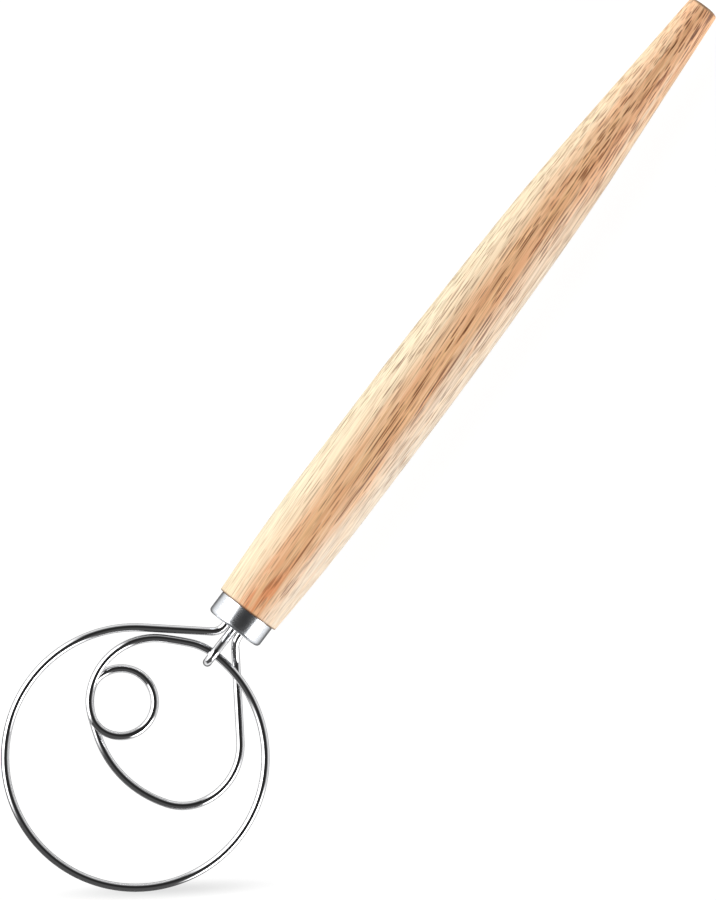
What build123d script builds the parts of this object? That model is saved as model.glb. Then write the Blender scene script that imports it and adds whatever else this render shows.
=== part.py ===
from build123d import *
from math import acos, asin, atan2, ceil, cos, degrees, dist, radians, sin, sqrt, tan
import os

# A dough whisk: a turned wooden handle, a drawn steel ferrule on its tenon, one steel wire bent into
# three nested loops, and a hooked stay that holds the wire at the mouth of the ferrule.
# Millimetres. The X axis is the axis of the handle and points to the loops, which lie flat in the XY
# plane. The origin is on that axis, at the middle of the ferrule's length.

# Sizes of the steel
wire_diameter = 2.6
stay_diameter = 2.8
strand_gap = 0.45  # least gap where the wire passes over or beside itself
row_gap = 0.1  # gap between neighbours in the row of three in the mouth
hook_gap = 0.75  # gap between the hook of the stay and the wire that it holds
tang_depth = 20.0  # straight end of each of the three, from the mouth into the handle

# Sizes of the loops, along the middle line of the wire
outer_radius = 41.5
outer_gap = 10.05  # mouth to the near side of the outer loop, where the stay holds it
outer_offset = -0.1  # the loop sits this far beside the axis of the handle
crown_radius = 20.9  # the part of the middle loop that lies beside the arm of the outer loop
crown_set_back = 5.3  # the crown passes the arm this far before the arm becomes the outer loop
ring_radius = 10.75
ring_outset = 0.75  # the small ring reaches this far past the crown that leads into it
flank_radius = 33.5
toe_radius = 19.9

# Sizes of the bends
left_corner_reach = 3.4  # mouth to the corner where each leg turns away
right_corner_reach = 2.9
stay_corner_reach = 1.6
exit_bend_radius = 5.0
climb_length = 6.5  # level length in which the lower layer climbs to the mouth
climb_bend_radius = 6.0
stay_bend_radius = 7.0
hook_tail_bearing = -45.0  # degrees round the held wire, from straight ahead
hook_tail_length = 1.4  # straight end of the hook
stay_end_round = 0.5

# Sizes of the ferrule
ferrule_length = 7.6
ferrule_diameter = 19.6
ferrule_wall = 0.6
ferrule_corner = 1.3
ferrule_hole_gap = 0.2  # between the edge of the ferrule's hole and the socket behind it

# Sizes of the handle
handle_length = 241.2  # from the shoulder to the butt
belly_diameter = 24.8
shoulder_diameter = 21.6
shoulder_chamfer = 0.4
butt_diameter = 10.2
butt_round = 0.9
butt_flat_diameter = 4.4
dome_height = 0.7  # how far the flat stands past the edge of the butt
knee_round = 500.0  # radius of the soft bend where the slow taper gives way to the straight tail
tenon_fit_gap = 0.04
tenon_end_gap = 0.2
tenon_chamfer = 0.8
socket_end_gap = 3.0  # between the steel ends and the full-width bottom of the socket
socket_gap = 0.2  # between the row of three and the wall of the socket
drill_point_angle = 118.0
bond_gap = 0.02
glue_recess = 0.5

# Places along the handle, as shares of the way from the shoulder to the butt
belly_start_share = 0.207
belly_end_share = 0.29
knee_share = 0.7
knee_diameter_share = 0.835  # of the diameter of the belly

# Where the far side of the middle loop sits from the middle of the outer loop, as shares of its radius
flank_x_share = -0.621
flank_y_share = 0.126
toe_x_share = -0.275
toe_y_share = 0.202

# Bearings in degrees round each loop, counter-clockwise seen from above
stay_bearing = 180.0  # where the outer loop ends, under the stay
ring_place_bearing = -54.8
crown_in_bearing = 210.0
crown_out_bearing = 300.0
ring_in_bearing = 12.0
ring_low_bearing = 210.0
ring_out_bearing = 256.0
flank_in_bearing = -34.0
flank_out_bearing = 0.0
toe_in_bearing = 60.0

# Values that follow from the sizes above
wire_radius = wire_diameter / 2
stay_radius = stay_diameter / 2
row_pitch = wire_radius + stay_radius + row_gap
lower_layer = -(wire_diameter + strand_gap)
shoulder_x = -ferrule_length / 2
mouth_x = ferrule_length / 2
butt_x = shoulder_x - handle_length
outer_center = Vector(mouth_x + outer_gap + outer_radius, outer_offset)
flank_center = outer_center + Vector(flank_x_share, flank_y_share) * outer_radius
toe_center = outer_center + Vector(toe_x_share, toe_y_share) * outer_radius
parallel_limit = 1e-6


def way(bearing):
    """The level unit vector at a bearing."""
    return Vector(cos(radians(bearing)), sin(radians(bearing)))


def on_loop(center, radius, bearing, height=0, climb=0):
    """A station of the route on a loop: its point, and the way that the wire runs there."""
    run = way(bearing + 90) + Vector(0, 0, climb)
    return center + way(bearing) * radius + Vector(0, 0, height), run.normalized()


def leg_bearing(corner, center, radius, side):
    """Where a straight leg from a corner touches a loop; side is 1 for the way in, -1 for the way out."""
    offset = Vector(corner.X, corner.Y) - center
    return degrees(atan2(offset.Y, offset.X) + side * acos(radius / offset.length))


def bend(corner, way_in, way_out, radius):
    """The two stations where a bend of one radius starts and ends, round a corner of two straight runs."""
    turn = radians(way_in.get_angle(way_out))
    set_back = radius * tan(turn / 2)
    return [(corner - way_in * set_back, way_in), (corner + way_out * set_back, way_out)]


def link(start, end):
    """Two arcs in one smooth line from a station to the next, or a straight run where they are in line."""
    (point, run), (far_point, far_run) = start, end
    span = far_point - point
    if run.cross(span.normalized()).length < parallel_limit:
        Line(point, far_point)
        return
    a = 2 * (1 - run.dot(far_run))
    b = 2 * span.dot(run + far_run)
    c = -span.dot(span)
    reach = -c / b if a < parallel_limit else (sqrt(b * b - 4 * a * c) - b) / (2 * a)
    joint = (point + run * reach + far_point - far_run * reach) / 2
    TangentArc(point, joint, tangent=run)
    TangentArc(far_point, joint, tangent=-far_run)


def route_through(stations):
    """One smooth line of arcs and straight runs through the stations."""
    with BuildLine() as route:
        for start, end in zip(stations, stations[1:]):
            link(start, end)
    return route.wire()


# Left leg: out of the mouth, round its corner and along the straight arm onto the outer loop
ahead = Vector(1, 0, 0)
left_corner_point = Vector(mouth_x + left_corner_reach, -row_pitch)
arm_bearing = leg_bearing(left_corner_point, outer_center, outer_radius, 1)
arm_end = on_loop(outer_center, outer_radius, arm_bearing)
left_leg = [(Vector(mouth_x - tang_depth, -row_pitch), ahead)]
left_leg += bend(left_corner_point, ahead, arm_end[1], exit_bend_radius)

# The crown runs beside the arm, and the small ring hangs inside it, on the side away from the handle
crown_inset = outer_radius - crown_radius - wire_diameter - strand_gap
crown_center = outer_center + way(arm_bearing) * crown_inset - arm_end[1] * crown_set_back
ring_hang = crown_radius - ring_radius + ring_outset
ring_center = crown_center + way(ring_place_bearing) * ring_hang

# The outer loop in two halves, then the crown, on the upper layer
loop_turn = stay_bearing + 360 - (arm_bearing % 360)
upper_layer = [arm_end]
for half in (1, 2):
    upper_layer.append(on_loop(outer_center, outer_radius, arm_bearing + loop_turn * half / 2))
upper_layer.append(on_loop(crown_center, crown_radius, crown_in_bearing))
upper_layer.append(on_loop(crown_center, crown_radius, crown_out_bearing))

# The small ring takes the wire down one layer while it turns back
ring_turn = radians(ring_low_bearing - ring_in_bearing)
ring_climb = 2 * lower_layer / (ring_radius * ring_turn)
ring_mid_bearing = (ring_in_bearing + ring_low_bearing) / 2
small_ring = [
    on_loop(ring_center, ring_radius, ring_in_bearing),
    on_loop(ring_center, ring_radius, ring_mid_bearing, lower_layer / 2, ring_climb),
    on_loop(ring_center, ring_radius, ring_low_bearing, lower_layer),
    on_loop(ring_center, ring_radius, ring_out_bearing, lower_layer),
]

# Back under the crown, along the flank and round the toe, on the lower layer
right_corner_point = Vector(mouth_x + right_corner_reach, row_pitch)
cheek_bearing = leg_bearing(right_corner_point, toe_center, toe_radius, -1) % 360
lower_loop = [
    on_loop(crown_center, crown_radius, crown_out_bearing, lower_layer),
    on_loop(flank_center, flank_radius, flank_in_bearing, lower_layer),
    on_loop(flank_center, flank_radius, flank_out_bearing, lower_layer),
    on_loop(toe_center, toe_radius, toe_in_bearing, lower_layer),
    on_loop(toe_center, toe_radius, cheek_bearing, lower_layer),
]

# Right leg: under the outer loop, up to the height of the mouth and into it
cheek_run = lower_loop[-1][1]
climb_point = right_corner_point - cheek_run * climb_length + Vector(0, 0, lower_layer)
climb_way = (right_corner_point - climb_point).normalized()
right_leg = bend(climb_point, cheek_run, climb_way, climb_bend_radius)
right_leg += bend(right_corner_point, climb_way, -ahead, exit_bend_radius)
right_leg.append((Vector(mouth_x - tang_depth, row_pitch), -ahead))

# One continuous wire
wire_stations = left_leg + upper_layer + small_ring + lower_loop + right_leg
wire_route = route_through(wire_stations)
with BuildPart() as whisk_wire:
    with BuildSketch(Plane(origin=wire_stations[0][0], z_dir=ahead)):
        Circle(wire_radius)
    sweep(path=wire_route)
whisk_wire.part.label = "whisk_wire"

# The stay rises from the mouth, passes over the wire where it leaves the outer loop and hooks round it
held_point = outer_center + way(stay_bearing) * outer_radius
stay_corner_point = Vector(mouth_x + stay_corner_reach, 0)
stay_run = (held_point - stay_corner_point).normalized()
up = Vector(0, 0, 1)
hook_radius = wire_radius + stay_radius + hook_gap
top_bearing = 90  # degrees, straight above the held wire
rise = degrees(asin(hook_radius / (held_point - stay_corner_point).length))


def on_hook(bearing):
    """A station of the hook: the bearing is straight ahead at 0 and straight above the wire at 90."""
    outward = stay_run * cos(radians(bearing)) + up * sin(radians(bearing))
    onward = stay_run * sin(radians(bearing)) - up * cos(radians(bearing))
    return held_point + outward * hook_radius, onward


hook_start = on_hook(top_bearing + rise)
stay_stations = [(Vector(mouth_x - tang_depth, 0), ahead)]
stay_stations += bend(stay_corner_point, ahead, hook_start[1], stay_bend_radius)
hook_end, tail_run = on_hook(hook_tail_bearing)
tail_point = hook_end + tail_run * hook_tail_length
stay_stations += [hook_start, on_hook(0), (hook_end, tail_run), (tail_point, tail_run)]
stay_route = route_through(stay_stations)
with BuildPart() as center_stay:
    with BuildSketch(Plane(origin=stay_stations[0][0], z_dir=ahead)):
        Circle(stay_radius)
    sweep(path=stay_route)
    tail_face = center_stay.faces().filter_by(GeomType.PLANE).sort_by_distance(tail_point)[0]
    fillet(tail_face.edges(), stay_end_round)
center_stay.part.label = "center_stay"

# The ferrule is a drawn cup with a rounded corner and a round hole in its end wall
row_radius = row_pitch + wire_radius
socket_radius = row_radius + socket_gap
with BuildPart() as ferrule:
    with BuildSketch(Plane.YZ.offset(shoulder_x)):
        Circle(ferrule_diameter / 2)
    extrude(amount=ferrule_length)
    fillet(ferrule.edges().sort_by(Axis.X)[-1], ferrule_corner)
    offset(amount=-ferrule_wall, openings=ferrule.faces().sort_by(Axis.X)[0])
    with BuildSketch(Plane.YZ.offset(mouth_x)):
        Circle(socket_radius + ferrule_hole_gap)
    extrude(amount=-ferrule_wall * 2, mode=Mode.SUBTRACT)
ferrule.part.label = "ferrule"

# The handle is turned between centres, with a tenon for the ferrule and a drilled socket for the steel
tenon_x = mouth_x - ferrule_wall - tenon_end_gap
tenon_radius = ferrule_diameter / 2 - ferrule_wall - tenon_fit_gap
socket_floor_x = mouth_x - tang_depth - socket_end_gap
drill_tip_x = socket_floor_x - socket_radius / tan(radians(drill_point_angle / 2))
shoulder_edge = (shoulder_x, shoulder_diameter / 2)
belly_start = (shoulder_x - handle_length * belly_start_share, belly_diameter / 2)
belly_end = (shoulder_x - handle_length * belly_end_share, belly_diameter / 2)
knee = (shoulder_x - handle_length * knee_share, belly_diameter / 2 * knee_diameter_share)
butt_edge = (butt_x + dome_height, butt_diameter / 2)
flat_edge = (butt_x, butt_flat_diameter / 2)
with BuildPart() as handle:
    with BuildSketch() as turned_profile:
        with BuildLine():
            Polyline((tenon_x, 0), (tenon_x, tenon_radius), (shoulder_x, tenon_radius), shoulder_edge)
            TangentArc(belly_start, shoulder_edge, tangent=(1, 0))
            Line(belly_start, belly_end)
            TangentArc(belly_end, knee, tangent=(-1, 0))
            Line(knee, butt_edge)
            TangentArc(flat_edge, butt_edge, tangent=(0, 1))
            Polyline(flat_edge, (butt_x, 0), (tenon_x, 0))
        make_face()
        chamfer(turned_profile.vertices().sort_by_distance(shoulder_edge)[0], shoulder_chamfer)
        fillet(turned_profile.vertices().sort_by_distance(knee)[0], knee_round)
        fillet(turned_profile.vertices().sort_by_distance(butt_edge)[0], butt_round)
    revolve(axis=Axis.X)
    tenon_rim = handle.edges().group_by(Axis.X)[-1]
    chamfer(tenon_rim, tenon_chamfer)
    with BuildSketch():
        with BuildLine():
            Polyline(
                (tenon_x, 0),
                (tenon_x, socket_radius),
                (socket_floor_x, socket_radius),
                (drill_tip_x, 0),
                close=True,
            )
        make_face()
    revolve(axis=Axis.X, mode=Mode.SUBTRACT)
handle.part.label = "handle"

# Cured glue fills the socket round the three steel ends, a little below the face of the ferrule
glue_face_x = mouth_x - glue_recess
with BuildPart() as socket_adhesive:
    with BuildSketch():
        with BuildLine():
            Polyline(
                (glue_face_x, 0),
                (glue_face_x, socket_radius - bond_gap),
                (socket_floor_x + bond_gap, socket_radius - bond_gap),
                (drill_tip_x + bond_gap / sin(radians(drill_point_angle / 2)), 0),
                close=True,
            )
        make_face()
    revolve(axis=Axis.X)
    with BuildSketch(Plane.YZ.offset(mouth_x - tang_depth - bond_gap)):
        with Locations((-row_pitch, 0), (row_pitch, 0)):
            Circle(wire_radius + bond_gap)
        Circle(stay_radius + bond_gap)
    extrude(amount=tang_depth, mode=Mode.SUBTRACT)
socket_adhesive.part.label = "socket_adhesive"

# Least gaps along the steel, measured on points that lie close together on each route
point_spacing = wire_radius / 3
same_stretch = 4 * wire_diameter  # points nearer than this along the wire are of one stretch


def points_along(route):
    """Points at even steps along a route."""
    steps = ceil(route.length / point_spacing)
    return [tuple(route.position_at(step / steps)) for step in range(steps + 1)]


wire_points = points_along(wire_route)
stay_points = points_along(stay_route)
skipped = ceil(same_stretch / point_spacing)
nearest_self = min(dist(a, b) for i, a in enumerate(wire_points) for b in wire_points[i + skipped :])
nearest_stay = min(dist(a, b) for a in stay_points for b in wire_points)
self_gap = nearest_self - wire_diameter
stay_gap = nearest_stay - wire_radius - stay_radius
print(f"whisk_wire: {wire_route.length:.1f} mm long, least gap to itself {self_gap:.2f} mm")
print(f"center_stay: {stay_route.length:.1f} mm long, least gap to the wire {stay_gap:.2f} mm")

os.makedirs("parts", exist_ok=True)
for piece in (handle, ferrule, whisk_wire, center_stay, socket_adhesive):
    export_step(piece.part, f"parts/{piece.part.label}.step")
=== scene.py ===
import bpy
from math import acos, asin, cos, pi, radians, sin, sqrt, tan
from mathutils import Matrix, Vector


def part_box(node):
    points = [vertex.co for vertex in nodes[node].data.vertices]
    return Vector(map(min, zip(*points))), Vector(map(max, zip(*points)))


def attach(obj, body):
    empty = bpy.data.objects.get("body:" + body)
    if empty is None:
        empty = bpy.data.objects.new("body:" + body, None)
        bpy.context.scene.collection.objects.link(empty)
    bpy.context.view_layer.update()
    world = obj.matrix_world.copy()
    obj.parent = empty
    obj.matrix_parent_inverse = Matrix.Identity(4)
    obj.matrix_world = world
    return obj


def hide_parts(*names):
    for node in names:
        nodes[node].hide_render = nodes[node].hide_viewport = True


# A dough whisk: turned wooden handle, bright steel ferrule, one steel wire in three nested loops, hooked stay.
# All in metres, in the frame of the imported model: the handle runs along -X, the loops lie flat in XY.

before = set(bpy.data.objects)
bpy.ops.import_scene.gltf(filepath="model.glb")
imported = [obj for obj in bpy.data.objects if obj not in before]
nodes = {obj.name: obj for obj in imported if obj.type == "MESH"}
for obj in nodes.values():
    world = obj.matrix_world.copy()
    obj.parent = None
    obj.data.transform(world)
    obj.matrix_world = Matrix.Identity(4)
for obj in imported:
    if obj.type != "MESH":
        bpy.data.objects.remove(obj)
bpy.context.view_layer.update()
mm = 0.001

shoulderX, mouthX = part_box("ferrule")[0].x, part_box("ferrule")[1].x
buttX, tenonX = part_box("handle")[0].x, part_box("handle")[1].x
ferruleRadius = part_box("ferrule")[1].y
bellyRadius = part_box("handle")[1].y
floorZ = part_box("handle")[0].z
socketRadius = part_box("socket_adhesive")[1].y
print("frame loaded:", ", ".join(sorted(nodes)))


# Shared by the new pieces

weldReach = 0.001 * mm
smoothAngle = radians(28)  # edges that turn less than this are shaded smooth


def runOn(step):  # in edit mode, as the next one
    bpy.ops.mesh.extrude_region_move(TRANSFORM_OT_translate={"value": step})


def finishMesh():  # faces outward, smooth but for sharp edges, and back to object mode
    bpy.ops.mesh.normals_make_consistent(inside=False)
    bpy.ops.object.mode_set(mode="OBJECT")
    bpy.ops.object.shade_smooth_by_angle(angle=smoothAngle)


def roundedProfile(corners, steps):  # corners are (x, radius, rounding), the rounding is an arc tangent to both sides
    stations = []
    for place, (x, radius, rounding) in enumerate(corners):
        corner = Vector((x, radius))
        if rounding == 0:
            stations.append(corner)
            continue
        back = (Vector(corners[place - 1][:2]) - corner).normalized()
        onward = (Vector(corners[(place + 1) % len(corners)][:2]) - corner).normalized()
        halfAngle = acos(back.dot(onward)) / 2
        center = corner + (back + onward).normalized() * rounding / sin(halfAngle)
        first = corner + back * rounding / tan(halfAngle) - center
        last = corner + onward * rounding / tan(halfAngle) - center
        for step in range(steps + 1):
            stations.append(center + first.slerp(last, step / steps).normalized() * rounding)
    return stations


def turnPiece(name, stations, sides, closedRing=False):  # a circle is drawn out ring by ring along the X axis
    fill = "NOTHING" if closedRing else "TRIFAN"
    start = stations[0]
    bpy.ops.object.select_all(action="DESELECT")
    bpy.ops.mesh.primitive_circle_add(
        vertices=sides, radius=start.y, fill_type=fill, location=(start.x, 0, 0), rotation=(0, pi / 2, 0)
    )
    piece = bpy.context.object
    piece.name = piece.data.name = name
    bpy.ops.object.transform_apply(location=True, rotation=True, scale=True)
    bpy.ops.object.mode_set(mode="EDIT")
    bpy.ops.mesh.select_all(action="SELECT")
    for before, after in zip(stations, stations[1:]):
        runOn(Vector((after.x - before.x, 0, 0)))
        grow = after.y / before.y
        bpy.ops.transform.resize(value=(1, grow, grow), center_override=(after.x, 0, 0))
    bpy.ops.mesh.select_all(action="SELECT")
    if closedRing:
        bpy.ops.mesh.remove_doubles(threshold=weldReach)
    finishMesh()
    return piece


# Shared by the materials

dashEdge = (0.38, 0.24)  # where a dash begins and where it is full, as distances from its cell's middle


def newMaterial(name):
    material = bpy.data.materials.new(name)
    material.use_nodes = True
    return material, material.node_tree, material.node_tree.nodes["Principled BSDF"]


def addNode(tree, kind, inputs, **settings):
    node = tree.nodes.new("ShaderNode" + kind)
    for setting, value in settings.items():
        setattr(node, setting, value)
    for socket, value in inputs.items():
        plug(tree, value, node.inputs[socket])
    return node


def plug(tree, value, socket):
    if isinstance(value, bpy.types.NodeSocket):
        tree.links.new(value, socket)
    else:
        socket.default_value = value


def figure(tree, operation, first, second=0.0, third=0.0):
    return addNode(tree, "Math", {0: first, 1: second, 2: third}, operation=operation).outputs[0]


def product(tree, first, *others):
    for other in others:
        first = figure(tree, "MULTIPLY", first, other)
    return first


def offCenter(tree, value, center):  # how far a value is from a centre, on either side
    return figure(tree, "ABSOLUTE", figure(tree, "SUBTRACT", value, center))


def vectorMath(tree, operation, inputs):
    return addNode(tree, "VectorMath", inputs, operation=operation).outputs[0]


def axisParts(tree, vector):
    return addNode(tree, "SeparateXYZ", {0: vector}).outputs


def fade(tree, value, start, end, atStart=0.0, atEnd=1.0):
    inputs = {"Value": value, "From Min": start, "From Max": end, "To Min": atStart, "To Max": atEnd}
    return addNode(tree, "MapRange", inputs, interpolation_type="SMOOTHSTEP").outputs["Result"]


def layColor(tree, factor, under, over, mode="MIX"):
    node = addNode(tree, "Mix", {0: factor}, data_type="RGBA", blend_type=mode)
    plug(tree, under, node.inputs[6])
    plug(tree, over, node.inputs[7])
    return node.outputs[2]


def objectPlace(tree):  # the place on the object in millimetres, and the way that the surface faces
    texture = addNode(tree, "TexCoord", {}).outputs
    return vectorMath(tree, "SCALE", {0: texture["Object"], "Scale": 1 / mm}), texture["Normal"]


def streaks(tree, place, along, across, detail=2.0, roughness=0.55, depth=1.0):  # noise drawn out along X, in mm
    scale = (1 / along, 1 / across, 1 / (across * depth))
    drawn = vectorMath(tree, "MULTIPLY", {0: place, 1: scale})
    inputs = {"Vector": drawn, "Scale": 1.0, "Detail": detail, "Roughness": roughness}
    return addNode(tree, "TexNoise", inputs).outputs["Fac"]


def dashes(tree, place, length, width, share):  # straight marks along X, one to a cell, in a share of the cells
    drawn = vectorMath(tree, "MULTIPLY", {0: place, 1: (1 / length, 1 / width, 1 / width)})
    cell = addNode(tree, "TexVoronoi", {"Vector": drawn, "Scale": 1.0})
    mark = fade(tree, cell.outputs["Distance"], *dashEdge)
    lot = addNode(tree, "SeparateColor", {0: cell.outputs["Color"]}).outputs["Red"]
    return product(tree, mark, figure(tree, "LESS_THAN", lot, share))


def toneRamp(tree, value, tones):  # tones are (value, colour), from the lowest value to the highest
    low, high = tones[0][0], tones[-1][0]
    node = addNode(tree, "ValToRGB", {0: addNode(tree, "MapRange", {0: value, 1: low, 2: high}).outputs[0]})
    ends = node.color_ramp.elements
    ends[0].color, ends[1].color = tones[0][1], tones[-1][1]
    for step, color in tones[1:-1]:
        node.color_ramp.elements.new((step - low) / (high - low)).color = color
    return node.outputs["Color"]


def paint(red, green, blue):  # a colour as a screen shows it, 0 to 255, made linear by the screen's curve
    return tuple(((part / 255 + 0.055) / 1.055) ** 2.4 for part in (red, green, blue)) + (1.0,)


# Handle: one turned piece with its tenon and drilled socket

handleShape = {
    "shoulderRadius": 10.8 * mm, "shoulderRounding": 0.4 * mm,
    "bellyStart": 0.207, "bellyEnd": 0.29, "knee": 0.7, "kneeWidth": 0.835,  # shares of the length and of the belly
    "kneeBlend": 8 * mm, "buttRadius": 5.1 * mm, "buttRounding": 0.9 * mm,
    "flatRadius": 2.2 * mm, "domeHeight": 0.7 * mm, "domeSteps": 5,
    "tenonRadius": 9.16 * mm, "tenonRounding": 0.8 * mm, "socketFloor": -19.2 * mm, "drillTip": -21.66 * mm,
    "ringSpacing": 3 * mm, "roundingSteps": 5, "sides": 144, "axisReach": 0.01 * mm,
}
handleLength = shoulderX - buttX


def arcDrop(width, fall, reach):  # fall of an arc below its crest, at a distance from the crest
    arcRadius = (width * width + fall * fall) / (2 * fall)
    return arcRadius - sqrt(arcRadius * arcRadius - reach * reach)


def bodyRadius(share):
    shape = handleShape
    if share < shape["bellyStart"]:
        width = shape["bellyStart"] * handleLength
        fall = bellyRadius - shape["shoulderRadius"]
        return bellyRadius - arcDrop(width, fall, (shape["bellyStart"] - share) * handleLength)
    if share <= shape["bellyEnd"]:
        return bellyRadius
    if share <= shape["knee"]:
        width = (shape["knee"] - shape["bellyEnd"]) * handleLength
        fall = bellyRadius * (1 - shape["kneeWidth"])
        return bellyRadius - arcDrop(width, fall, (share - shape["bellyEnd"]) * handleLength)
    kneeRadius = bellyRadius * shape["kneeWidth"]
    tailShare = (share - shape["knee"]) / (1 - shape["domeHeight"] / handleLength - shape["knee"])
    return kneeRadius + (shape["buttRadius"] - kneeRadius) * tailShare


def makeHandle():
    shape = handleShape
    corners = [
        (shape["socketFloor"], socketRadius, 0),
        (tenonX, socketRadius, 0),
        (tenonX, shape["tenonRadius"], shape["tenonRounding"]),
        (shoulderX, shape["tenonRadius"], 0),
        (shoulderX, shape["shoulderRadius"], shape["shoulderRounding"]),
    ]
    rings = round(handleLength / shape["ringSpacing"])
    for ring in range(1, rings):
        share = ring / rings
        if abs(share - shape["knee"]) * handleLength > shape["kneeBlend"]:
            corners.append((shoulderX - share * handleLength, bodyRadius(share), 0))
    corners.append((buttX + shape["domeHeight"], shape["buttRadius"], shape["buttRounding"]))
    domeWidth = shape["buttRadius"] - shape["flatRadius"]
    for step in reversed(range(shape["domeSteps"] - 1)):  # the step next to the edge is left to its rounding
        reach = domeWidth * step / shape["domeSteps"]
        corners.append((buttX + arcDrop(domeWidth, shape["domeHeight"], reach), shape["flatRadius"] + reach, 0))
    piece = turnPiece("turnedHandle", roundedProfile(corners, shape["roundingSteps"]), shape["sides"])
    bpy.ops.object.mode_set(mode="EDIT")
    bpy.ops.mesh.select_all(action="DESELECT")
    bpy.ops.object.mode_set(mode="OBJECT")
    for vertex in piece.data.vertices:  # middle of the socket's floor, drawn out to the drill point
        onAxis = Vector((0, vertex.co.y, vertex.co.z)).length < shape["axisReach"]
        vertex.select = onAxis and vertex.co.x > buttX + shape["domeHeight"]
    bpy.ops.object.mode_set(mode="EDIT")
    bpy.ops.transform.translate(value=(shape["drillTip"] - shape["socketFloor"], 0, 0))
    bpy.ops.object.mode_set(mode="OBJECT")
    return piece


woodLook = {
    "grainSlope": 3.0,  # degrees between the grain and the axis of the handle
    "wanderScale": (0.008, 0.04, 0.04), "wanderMiddle": (0.5, 0.5, 0.5), "wanderReach": (0, 3.0, 3.0),

    # Streaks, as length, width, detail, roughness and depth of the noise
    "fine": (26, 0.42, 1.0, 0.55, 1.7), "bands": (40, 1.6, 3.0), "broad": (80, 5.0, 1.0),
    "tints": (22, 2.6, 2.0), "blushes": (14, 2.2, 2.0), "flocks": (20, 2.6, 1.0),

    # Dashes, as length, width and share of the cells
    "shortPores": (9, 0.8, 0.9), "midPores": (20, 0.7, 0.8), "longPores": (70, 0.9, 0.7),

    # Layers of the tree: millimetres from the middle of the handle, and the tone there
    "layers": [
        (-12, paint(216, 204, 175)), (-6, paint(223, 197, 161)), (-2, paint(235, 187, 143)),
        (4, paint(235, 180, 133)), (7.5, paint(225, 196, 164)), (12, paint(223, 209, 190)),
    ],
    "raggedReach": 8.0, "swingReach": 4.0, "heartCenter": 1.0, "upperCenter": 4.6,  # millimetres

    # Tones
    "rust": paint(220, 138, 86), "tan": paint(232, 188, 142), "amber": paint(240, 190, 138),
    "line": (0.34, 0.23, 0.14, 1), "pore": (0.34, 0.21, 0.13, 1),
    "blush": (1.0, 0.88, 0.84, 1), "gleam": (1.0, 0.8, 0.54, 1),
    "endGrain": paint(222, 196, 164), "scorch": paint(92, 62, 40), "rimStain": paint(146, 122, 92),

    # Fades across the layers or along the axis: from and to in millimetres, and the strength at each
    "calmFade": (-30.0, -85.0, 0.5, 1.0), "heartFade": (5.0, 2.5), "upperFade": (3.4, 1.2, 0.15, 0.9),
    "paleStart": (-18.0, -34.0), "paleEnd": (-92.0, -66.0), "rustNear": (-26.0, -12.0, 0.3, 1.0),
    "scorchFade": (-4.5, -3.9, 0.0, 0.85), "rimFade": (-243.7, -244.6, 0.0, 0.6),

    # Fades of a noise or of the facing: from and to, and the strength at each
    "rustFade": (0.46, 0.6), "amberFade": (0.46, 0.3, 0.0, 0.7), "blushFade": (0.52, 0.72, 0.0, 0.35),
    "lineFade": (0.52, 0.38), "gleamFade": (0.54, 0.7, 0.0, 0.25), "flockFade": (0.38, 0.56, 0.3, 1.0),
    "endFade": (0.45, 0.9, 0.0, 0.8), "roughFade": (0.3, 0.7, 0.52, 0.42),

    # Strengths
    "tanShare": 0.55, "rustShare": 0.8, "lineShare": 0.32, "heartBoldness": 0.3, "boldness": 0.65,
    "fineRelief": 0.5, "reliefStrength": 0.4, "reliefDepth": 0.08 * mm,
}


def grainPlace(tree, place):  # the place, turned to the slope of the grain and bent by slow wandering
    look = woodLook
    slope = (0, 0, -radians(look["grainSlope"]))
    turned = addNode(tree, "Mapping", {"Vector": place, "Rotation": slope}).outputs[0]
    slow = vectorMath(tree, "MULTIPLY", {0: turned, 1: look["wanderScale"]})
    wander = addNode(tree, "TexNoise", {"Vector": slow, "Scale": 1.0, "Detail": 0.0}).outputs["Color"]
    drift = vectorMath(tree, "SUBTRACT", {0: wander, 1: look["wanderMiddle"]})
    drift = vectorMath(tree, "MULTIPLY", {0: drift, 1: look["wanderReach"]})
    return vectorMath(tree, "ADD", {0: turned, 1: drift})


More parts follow.
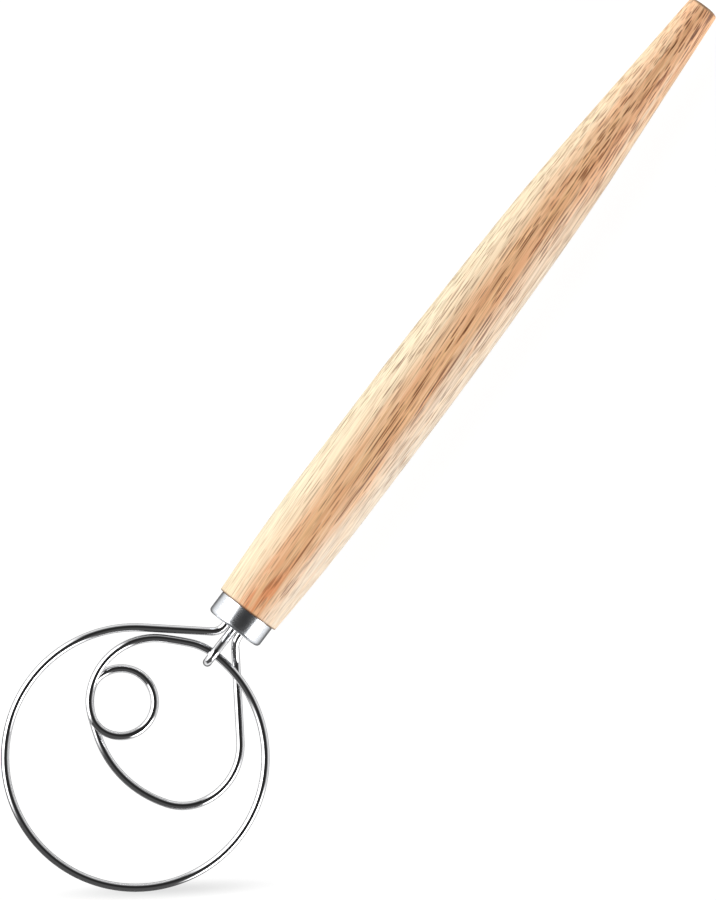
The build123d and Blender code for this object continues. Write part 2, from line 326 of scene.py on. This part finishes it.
def makeWood():
    look = woodLook
    material, tree, shader = newMaterial("oiledWood")
    place, normal = objectPlace(tree)
    split = axisParts(tree, place)
    alongAxis, acrossFlat = split["X"], split["Y"]
    grain = grainPlace(tree, place)

    def lay(factor, under, over, mode="MIX"):
        return layColor(tree, factor, under, look[over], mode)

    fine = streaks(tree, grain, *look["fine"])
    bands = streaks(tree, grain, *look["bands"])
    broad = streaks(tree, grain, *look["broad"])

    # The layers of the tree, cut lengthwise: each keeps its side of the handle, with streaky edges
    ragged = product(tree, figure(tree, "SUBTRACT", bands, 0.5), look["raggedReach"])
    swing = product(tree, figure(tree, "SUBTRACT", broad, 0.5), look["swingReach"])
    layer = figure(tree, "ADD", acrossFlat, figure(tree, "ADD", ragged, swing))
    color = toneRamp(tree, layer, look["layers"])

    # Behind the ferrule the middle is rust-coloured, and further on it pales for a stretch
    calm = fade(tree, alongAxis, *look["calmFade"])
    inHeart = fade(tree, offCenter(tree, layer, look["heartCenter"]), *look["heartFade"])
    pale = product(tree, fade(tree, alongAxis, *look["paleStart"]), fade(tree, alongAxis, *look["paleEnd"]))
    color = lay(product(tree, pale, inHeart, look["tanShare"]), color, "tan")
    tint = streaks(tree, grain, *look["tints"])
    near = fade(tree, alongAxis, *look["rustNear"])
    rusty = product(tree, fade(tree, tint, *look["rustFade"]), near, inHeart)
    color = lay(product(tree, rusty, look["rustShare"]), color, "rust")
    color = lay(product(tree, fade(tree, tint, *look["amberFade"]), inHeart), color, "amber")
    blush = streaks(tree, grain, *look["blushes"])
    color = lay(fade(tree, blush, *look["blushFade"]), color, "blush", "MULTIPLY")

    # Soft grain lines, dark and light, then the pores: short dashes in flocks, longer ones, and lines of one layer
    soft = product(tree, fade(tree, fine, *look["lineFade"]), product(tree, calm, look["lineShare"]))
    color = lay(soft, color, "line", "MULTIPLY")
    color = lay(fade(tree, fine, *look["gleamFade"]), color, "gleam")
    flock = fade(tree, streaks(tree, grain, *look["flocks"]), *look["flockFade"])
    bold = product(tree, figure(tree, "MULTIPLY_ADD", inHeart, look["heartBoldness"], look["boldness"]), calm)
    pores = product(tree, dashes(tree, grain, *look["shortPores"]), product(tree, flock, bold))
    color = lay(pores, color, "pore", "MULTIPLY")
    color = lay(product(tree, dashes(tree, grain, *look["midPores"]), bold), color, "pore", "MULTIPLY")
    upper = fade(tree, offCenter(tree, layer, look["upperCenter"]), *look["upperFade"])
    color = lay(product(tree, dashes(tree, grain, *look["longPores"]), upper), color, "pore", "MULTIPLY")

    # The lathe scorched the shoulder, hands have darkened the rim of the butt, and end grain drinks more oil
    color = lay(fade(tree, alongAxis, *look["scorchFade"]), color, "scorch")
    color = lay(fade(tree, alongAxis, *look["rimFade"]), color, "rimStain")
    facing = figure(tree, "ABSOLUTE", axisParts(tree, normal)["X"])
    color = lay(fade(tree, facing, *look["endFade"]), color, "endGrain", "MULTIPLY")

    plug(tree, color, shader.inputs["Base Color"])
    plug(tree, fade(tree, bands, *look["roughFade"]), shader.inputs["Roughness"])
    relief = figure(tree, "SUBTRACT", product(tree, fine, look["fineRelief"]), pores)
    inputs = {"Height": relief, "Strength": look["reliefStrength"], "Distance": look["reliefDepth"]}
    plug(tree, addNode(tree, "Bump", inputs).outputs["Normal"], shader.inputs["Normal"])
    return material


handle = makeHandle()
handle.data.materials.append(makeWood())
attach(handle, "root")
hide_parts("handle")
print("handle turned,", len(handle.data.polygons), "faces")


# Ferrule: a drawn cup with a rounded corner and a round hole in its end wall

ferruleShape = {
    "wall": 0.6 * mm, "cornerRounding": 1.3 * mm, "edgeRounding": 0.18 * mm,
    "holeGap": 0.22 * mm, "roundingSteps": 8, "sides": 144,
}


def makeFerrule():
    shape = ferruleShape
    innerRadius = ferruleRadius - shape["wall"]
    innerX = mouthX - shape["wall"]
    holeRadius = socketRadius + shape["holeGap"]
    corners = [
        (shoulderX, innerRadius, 0),
        (innerX, innerRadius, shape["cornerRounding"] - shape["wall"]),
        (innerX, holeRadius, 0),
        (mouthX, holeRadius, shape["edgeRounding"]),
        (mouthX, ferruleRadius, shape["cornerRounding"]),
        (shoulderX, ferruleRadius, shape["edgeRounding"]),
    ]
    stations = roundedProfile(corners, shape["roundingSteps"])
    return turnPiece("drawnFerrule", stations + stations[:1], shape["sides"], closedRing=True)


steelLook = {
    "turnedSteel": {
        "color": (0.64, 0.66, 0.69, 1), "roughness": 0.25,
        "lines": (0.12, 12.0), "relief": 0.01 * mm,  # fine marks round the piece, width and length in millimetres
    },
    "polishedRod": {
        "color": (0.68, 0.68, 0.69, 1), "roughness": 0.07, "lines": (1.2, 1.2), "relief": 0.006 * mm,
    },
    "drawnWire": {
        "color": (0.66, 0.66, 0.67, 1), "roughness": 0.07, "lines": (1.2, 1.2), "relief": 0.006 * mm,
    },
}
steelFinish = {
    "lineDetail": (3.0, 0.6), "smudges": (6, 6, 2.0), "smudgeSwing": 0.5, "smudgeBase": 0.75, "reliefStrength": 0.2,
}


def makeSteel(name):
    look, finish = steelLook[name], steelFinish
    material, tree, shader = newMaterial(name)
    place = objectPlace(tree)[0]
    lines = streaks(tree, place, *look["lines"], *finish["lineDetail"])
    smudges = streaks(tree, place, *finish["smudges"])
    shader.inputs["Base Color"].default_value = look["color"]
    shader.inputs["Metallic"].default_value = 1.0
    rough = figure(tree, "MULTIPLY_ADD", smudges, finish["smudgeSwing"], finish["smudgeBase"])
    plug(tree, product(tree, rough, look["roughness"]), shader.inputs["Roughness"])
    inputs = {"Height": lines, "Strength": finish["reliefStrength"], "Distance": look["relief"]}
    plug(tree, addNode(tree, "Bump", inputs).outputs["Normal"], shader.inputs["Normal"])
    return material


ferrule = makeFerrule()
ferrule.data.materials.append(makeSteel("turnedSteel"))
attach(ferrule, "root")
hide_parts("ferrule")
print("ferrule drawn,", len(ferrule.data.polygons), "faces")


# Stay: a straight rod that rises from the mouth, passes over the held wire and hooks round it

stayShape = {
    "radius": 1.4 * mm, "sides": 64, "cornerReach": 1.6 * mm, "bendRadius": 7 * mm, "bendSteps": 12,
    "heldReach": 10.05 * mm, "heldSide": -0.1 * mm,  # the wire that it holds, from the mouth and from the axis
    "hookRadius": 3.45 * mm, "hookTail": 45, "hookSteps": 40, "tailLength": 1.4 * mm,
    "endRounding": 0.5 * mm, "endSteps": 6,
}


def makeStay():
    shape = stayShape
    ahead, up = Vector((1, 0, 0)), Vector((0, 0, 1))
    start = Vector((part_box("center_stay")[0].x, 0, 0))
    corner = Vector((mouthX + shape["cornerReach"], 0, 0))
    held = Vector((mouthX + shape["heldReach"], shape["heldSide"], 0))
    level = (held - corner).normalized()
    rise = asin(shape["hookRadius"] / (held - corner).length)
    run = level * cos(rise) + up * sin(rise)
    hookStart = corner + run * (held - corner).length * cos(rise)
    turn = ahead.angle(run)
    setBack = shape["bendRadius"] * tan(turn / 2)
    bendStart = corner - ahead * setBack
    bendCenter = bendStart + (run - ahead * run.dot(ahead)).normalized() * shape["bendRadius"]
    bpy.ops.object.select_all(action="DESELECT")
    bpy.ops.mesh.primitive_circle_add(
        vertices=shape["sides"], radius=shape["radius"], fill_type="TRIFAN", location=start, rotation=(0, pi / 2, 0)
    )
    piece = bpy.context.object
    piece.name = piece.data.name = "hookedStay"
    bpy.ops.object.transform_apply(location=True, rotation=True, scale=True)
    bpy.ops.object.mode_set(mode="EDIT")
    bpy.ops.mesh.select_all(action="SELECT")
    runOn(bendStart - start)
    bpy.ops.mesh.spin(steps=shape["bendSteps"], angle=turn, center=bendCenter, axis=run.cross(ahead).normalized())
    runOn(hookStart - corner - run * setBack)
    swept = radians(90 + shape["hookTail"]) + rise
    bpy.ops.mesh.spin(steps=shape["hookSteps"], angle=swept, center=held, axis=level.cross(up))
    tailRun = level * -sin(radians(shape["hookTail"])) - up * cos(radians(shape["hookTail"]))
    runOn(tailRun * shape["tailLength"])
    bpy.ops.mesh.region_to_loop()
    bpy.ops.mesh.bevel(offset=shape["endRounding"], segments=shape["endSteps"], affect="EDGES")
    bpy.ops.mesh.select_all(action="SELECT")
    finishMesh()
    return piece


stay = makeStay()
stay.data.materials.append(makeSteel("polishedRod"))
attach(stay, "root")
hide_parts("center_stay")
print("stay bent,", len(stay.data.polygons), "faces")


# Wire and adhesive keep their shapes from the frame

resinLook = {"color": (0.05, 0.045, 0.04, 1), "mottle": (1.5, 1.5), "roughFade": (0.3, 0.7, 0.35, 0.55)}


def makeResin():
    material, tree, shader = newMaterial("curedResin")
    mottle = streaks(tree, objectPlace(tree)[0], *resinLook["mottle"])
    shader.inputs["Base Color"].default_value = resinLook["color"]
    plug(tree, fade(tree, mottle, *resinLook["roughFade"]), shader.inputs["Roughness"])
    return material


def dress(name, material):
    slots = nodes[name].data.materials
    slots.clear()
    slots.append(material)


dress("whisk_wire", makeSteel("drawnWire"))
dress("socket_adhesive", makeResin())
print("wire and adhesive dressed")


# Studio: a pale table, a tall softbox beside the handle and a low one opposite, and a dark room

studio = {
    "tableSize": 12.0, "tableColor": (0.14, 0.14, 0.14, 1), "tableRoughness": 0.9, "tableGlow": 0.92,
    "paintedGlow": 1.1, "paintedGlowEnd": 0.065, "paintedGlowFade": 0.03,  # a glow for all but camera rays, stronger at grazing angles, gone by the loops' far end: a painted reflection in the steel and painted bounce light on the wood
    "grazingBlend": 0.5, "grazingFade": (0.1, 0.6),
    "boxDistance": 2.0,
    "boxes": {  # degrees as seen from the loops: azimuth, half of the width, top above the table
        "tallSoftbox": {"azimuth": 291, "halfWidth": 48, "top": 61, "radiance": 3.8},
        "lowSoftbox": {"azimuth": 82, "halfWidth": 31, "top": 37, "radiance": 6.2},
    },
    "softSides": 0.3, "softTop": 0.12,  # shares of a softbox over which its light fades
    "darkRoom": 0.03, "farRoom": 0.11, "wallGlow": 0.75,
    "lowFade": (0.75, 0.15), "wallFade": (0.6, 0.3), "farFade": (0.05, 0.4),  # over the room's directions, up and X
    "white": (1, 1, 1, 1), "paleColor": (0.93, 0.93, 0.93, 1),  # of the glow and room, and of what is behind the table
    "shade": {"middle": (84.5, 32.3), "halfSize": (48, 4.2), "turn": 40, "depth": 0.3},  # a painted shadow in the table's glow, faint, beside the outer loop
}


def makeTable():
    bpy.ops.object.select_all(action="DESELECT")
    bpy.ops.mesh.primitive_plane_add(size=studio["tableSize"], location=(0, 0, floorZ))
    table = bpy.context.object
    table.name = "whiteTable"
    bpy.ops.object.transform_apply(location=True)
    material, tree, shader = newMaterial("litTable")
    shader.inputs["Base Color"].default_value = studio["tableColor"]
    shader.inputs["Roughness"].default_value = studio["tableRoughness"]
    shader.inputs["Specular IOR Level"].default_value = 0.0
    shader.inputs["Emission Color"].default_value = studio["white"]
    seen = addNode(tree, "LightPath", {}).outputs["Is Camera Ray"]
    # For all rays but the camera's the table glows, most at grazing angles and fading out by the loops' far end: a
    # painted reflection in the steel and painted bounce light on the wood
    facing = addNode(tree, "LayerWeight", {"Blend": studio["grazingBlend"]}).outputs["Facing"]
    grazing = fade(tree, facing, *studio["grazingFade"])
    place = addNode(tree, "TexCoord", {}).outputs["Object"]
    alongX = axisParts(tree, place)["X"]
    near = fade(tree, alongX, studio["paintedGlowEnd"], studio["paintedGlowEnd"] + studio["paintedGlowFade"], studio["paintedGlow"], 0.0)
    paintedGlow = product(tree, grazing, near)
    # For the camera the table glows evenly white, dimmed in a soft ellipse beside the outer loop: a painted shadow
    shade = studio["shade"]
    (middleX, middleY), (halfLength, halfWidth) = shade["middle"], shade["halfSize"]
    spot = addNode(tree, "Mapping", {
        "Vector": place, "Location": (middleX * mm, middleY * mm, 0), "Rotation": (0, 0, radians(shade["turn"])),
        "Scale": (halfWidth * mm, halfLength * mm, 1)}, vector_type="TEXTURE").outputs[0]
    reach = vectorMath(tree, "MULTIPLY", {0: spot, 1: (1, 1, 0)})
    reach = addNode(tree, "VectorMath", {0: reach}, operation="LENGTH").outputs["Value"]
    glowAndPaintedShadow = fade(tree, reach, 0.0, 1.0, studio["tableGlow"] - shade["depth"], studio["tableGlow"])
    glow = addNode(tree, "Mix", {0: seen, 2: paintedGlow, 3: glowAndPaintedShadow}).outputs[0]
    plug(tree, glow, shader.inputs["Emission Strength"])
    table.data.materials.append(material)


def makeSoftboxes():
    distance = studio["boxDistance"]
    for name, place in studio["boxes"].items():
        azimuth = radians(place["azimuth"])
        height = distance * tan(radians(place["top"]))
        width = 2 * distance * tan(radians(place["halfWidth"]))
        spot = (distance * cos(azimuth), distance * sin(azimuth), floorZ + height / 2)
        bpy.ops.object.light_add(type="AREA", location=spot, rotation=(pi / 2, 0, azimuth + pi / 2))
        box = bpy.context.object
        box.name = name
        box.data.shape = "RECTANGLE"
        box.data.size = width
        box.data.size_y = height
        box.data.energy = place["radiance"] * pi * width * height
        box.visible_camera = False
        box.data.use_nodes = True
        tree = box.data.node_tree
        over = axisParts(tree, addNode(tree, "NewGeometry", {}).outputs["Parametric"])
        sides = fade(tree, offCenter(tree, over["X"], 0.5), 0.5, 0.5 - studio["softSides"])
        top = fade(tree, over["Y"], 1.0, 1.0 - studio["softTop"])
        plug(tree, product(tree, sides, top), tree.nodes["Emission"].inputs["Strength"])


def makeSurroundings():
    world = bpy.data.worlds.new("studioRoom")
    bpy.context.scene.world = world
    world.use_nodes = True
    tree = world.node_tree
    toward = axisParts(tree, addNode(tree, "TexCoord", {}).outputs["Generated"])
    low = fade(tree, toward["Z"], *studio["lowFade"])
    wall = product(tree, low, studio["wallGlow"], fade(tree, toward["X"], *studio["wallFade"]))
    far = fade(tree, toward["X"], *studio["farFade"], studio["darkRoom"], studio["farRoom"])
    room = tree.nodes["Background"]
    plug(tree, figure(tree, "ADD", wall, far), room.inputs["Strength"])
    room.inputs["Color"].default_value = studio["white"]
    pale = addNode(tree, "Background", {"Color": studio["paleColor"]})
    seen = addNode(tree, "LightPath", {}).outputs["Is Camera Ray"]
    mixed = addNode(tree, "MixShader", {0: seen, 1: room.outputs[0], 2: pale.outputs[0]})
    plug(tree, mixed.outputs[0], tree.nodes["World Output"].inputs["Surface"])


makeTable()
makeSoftboxes()
makeSurroundings()
bpy.context.scene.view_settings.view_transform = "Standard"
print("table, softboxes and room made")


# Camera: straight down on the loops, rolled so that the handle leans to the upper right of the picture

cameraView = {
    "pictureHeight": 286.74 * mm, "middle": (-65.6 * mm, -2.7 * mm), "roll": 127.14,
    "lens": 300.0, "sensor": 36.0,
}


def makeCamera():
    distance = cameraView["pictureHeight"] * cameraView["lens"] / cameraView["sensor"]
    bpy.ops.object.camera_add(
        location=(*cameraView["middle"], distance), rotation=(0, 0, radians(cameraView["roll"]))
    )
    camera = bpy.context.object
    camera.data.lens = cameraView["lens"]
    camera.data.sensor_width = cameraView["sensor"]
    bpy.context.scene.camera = camera


makeCamera()
print("camera set")
